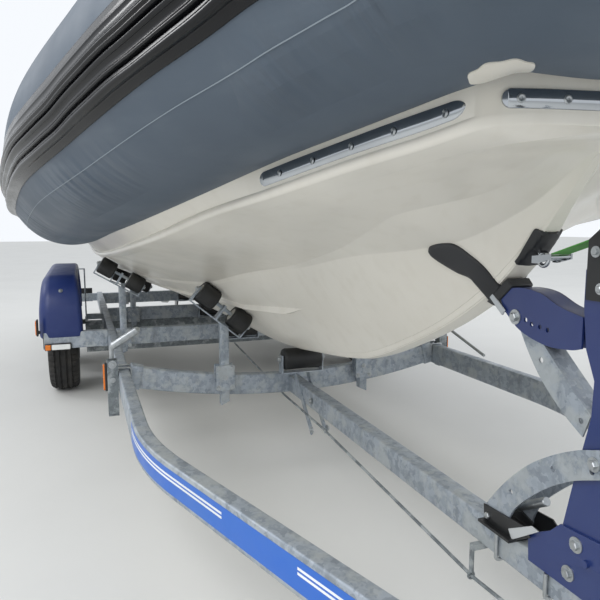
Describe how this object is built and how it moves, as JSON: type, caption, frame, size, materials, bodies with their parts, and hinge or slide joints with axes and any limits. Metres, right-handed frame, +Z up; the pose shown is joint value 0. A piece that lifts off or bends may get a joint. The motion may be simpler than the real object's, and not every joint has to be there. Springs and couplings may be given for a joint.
{
  "type": "inflatable rib boat on a road trailer",
  "caption": "Rigid inflatable boat with a cream hull and blue-grey tube, strapped down on a galvanised twin-axle roller trailer with blue mudguards and winch post",
  "frame": {"origin": "middle of the ground under the boat and trailer", "axes": "+X to the bow and the towing coupling, +Y to port, +Z up"},
  "size_m": [8.219, 2.6278, 2.36],
  "materials": {
    "gelcoat": "glossy",
    "tube_fabric": "satin",
    "black_rubber": "satin",
    "stainless": "satin",
    "screen": "glossy",
    "black_plastic": "matte",
    "upholstery": "satin",
    "engine_metal": "satin",
    "engine_shell": "glossy",
    "galvanised": "satin",
    "tyre_rubber": "matte",
    "wheel_paint": "satin",
    "guard_plastic": "satin",
    "blue_paint": "satin",
    "black_paint": "satin",
    "webbing": "matte",
    "lamp_plastic": "glossy",
    "amber_plastic": "glossy"
  },
  "bodies": {
    "boat_and_trailer": {"hull": "gelcoat", "deck_liner": "gelcoat", "tube_collar": "tube_fabric", "rub_strake": "black_rubber", "bow_strips": "stainless", "bow_eye": "stainless", "console": "gelcoat", "windscreen": "screen", "helm_seat": "gelcoat", "helm_cushions": "upholstery", "stern_bench": "gelcoat", "roll_bar": "stainless", "engine_bracket": "engine_metal", "rail_starboard": "galvanised", "rail_port": "galvanised", "spine": "galvanised", "front_beam": "galvanised", "cross_beams": "galvanised", "axles": "galvanised", "mudguards": "guard_plastic", "roller_posts": "galvanised", "roller_brackets": "galvanised", "rollers": "black_rubber", "winch_post": "blue_paint", "brace_foot": "black_paint", "post_braces": "galvanised", "snubber_arm": "blue_paint", "snubber": "black_rubber", "winch_frame": "black_paint", "winch_strap": "webbing", "coupling": "black_paint", "jockey_tube": "galvanised", "stand_sleeves": "galvanised", "lamps": "lamp_plastic", "amber_reflectors": "amber_plastic", "brake_rod": "galvanised"},
    "wheel_front_starboard": {"tyre_front_starboard": "tyre_rubber", "rim_front_starboard": "wheel_paint"},
    "wheel_front_port": {"tyre_front_port": "tyre_rubber", "rim_front_port": "wheel_paint"},
    "wheel_rear_starboard": {"tyre_rear_starboard": "tyre_rubber", "rim_rear_starboard": "wheel_paint"},
    "wheel_rear_port": {"tyre_rear_port": "tyre_rubber", "rim_rear_port": "wheel_paint"},
    "jockey_caster": {"jockey_fork": "galvanised"},
    "jockey_roller": {"jockey_wheel": "black_rubber"},
    "stand_starboard": {"stand_leg_starboard": "galvanised"},
    "stand_port": {"stand_leg_port": "galvanised"},
    "winch": {"winch_drum": "galvanised"},
    "engine_mount": {"engine_swivel": "engine_metal"},
    "engine": {"engine_leg": "engine_metal", "engine_cowl": "engine_shell"},
    "screw": {"propeller": "engine_metal"},
    "helm": {"steering_wheel": "black_plastic"},
    "locker_lid": {"bow_locker_lid": "gelcoat"},
    "door": {"console_door": "gelcoat"},
    "bench": {"bench_lid": "gelcoat", "bench_cushion": "upholstery"}
  },
  "joints": [
    {"name": "wheel_front_starboard_spin", "type": "hinge", "parent": "boat_and_trailer", "child": "wheel_front_starboard", "pos_m": [-1.4445, -1.11, 0.325], "axis": [0, 1, 0], "continuous": true},
    {"name": "wheel_front_port_spin", "type": "hinge", "parent": "boat_and_trailer", "child": "wheel_front_port", "pos_m": [-1.4445, 1.11, 0.325], "axis": [0, 1, 0], "continuous": true},
    {"name": "wheel_rear_starboard_spin", "type": "hinge", "parent": "boat_and_trailer", "child": "wheel_rear_starboard", "pos_m": [-2.2245, -1.11, 0.325], "axis": [0, 1, 0], "continuous": true},
    {"name": "wheel_rear_port_spin", "type": "hinge", "parent": "boat_and_trailer", "child": "wheel_rear_port", "pos_m": [-2.2245, 1.11, 0.325], "axis": [0, 1, 0], "continuous": true},
    {"name": "jockey_swivel", "type": "hinge", "parent": "boat_and_trailer", "child": "jockey_caster", "pos_m": [3.1505, 0.19216, 0.3], "axis": [0, 0, 1], "continuous": true},
    {"name": "jockey_spin", "type": "hinge", "parent": "jockey_caster", "child": "jockey_roller", "pos_m": [3.1055, 0.19216, 0.11], "axis": [0, 1, 0], "continuous": true},
    {"name": "stand_starboard_drop", "type": "slide", "parent": "boat_and_trailer", "child": "stand_starboard", "axis": [0, 0, -1], "range_m": [0, 0.2]},
    {"name": "stand_port_drop", "type": "slide", "parent": "boat_and_trailer", "child": "stand_port", "axis": [0, 0, -1], "range_m": [0, 0.2]},
    {"name": "winch_turn", "type": "hinge", "parent": "boat_and_trailer", "child": "winch", "pos_m": [2.0305, 0, 1.07], "axis": [0, 1, 0], "continuous": true},
    {"name": "engine_tilt", "type": "hinge", "parent": "boat_and_trailer", "child": "engine_mount", "pos_m": [-3.4795, 0, 1.195], "axis": [0, 1, 0], "range_deg": [0, 65]},
    {"name": "engine_steer", "type": "hinge", "parent": "engine_mount", "child": "engine", "pos_m": [-3.5795, 0, 1.1], "axis": [0, 0, 1], "range_deg": [-30, 30]},
    {"name": "propeller_spin", "type": "hinge", "parent": "engine", "child": "screw", "pos_m": [-4.0595, 0, 0.335], "axis": [1, 0, 0], "continuous": true},
    {"name": "helm_turn", "type": "hinge", "parent": "boat_and_trailer", "child": "helm", "pos_m": [-1.51363, 0, 1.8832], "axis": [0.8209, 0, -0.5711], "range_deg": [-540, 540]},
    {"name": "locker_lid_hinge", "type": "hinge", "parent": "boat_and_trailer", "child": "locker_lid", "pos_m": [0.5915, 0, 1.4483], "axis": [0, -1, 0], "range_deg": [0, 85]},
    {"name": "console_door_hinge", "type": "hinge", "parent": "boat_and_trailer", "child": "door", "pos_m": [-0.9725, 0.3863, 1.34], "axis": [0, 0, -1], "range_deg": [0, 90]},
    {"name": "bench_lid_hinge", "type": "hinge", "parent": "boat_and_trailer", "child": "bench", "pos_m": [-2.7945, 0, 1.4156], "axis": [0, -1, 0], "range_deg": [0, 75]}
  ],
  "couplings": [
    {"joint": "helm_turn", "follows": "engine_steer", "ratio": 18}
  ]
}
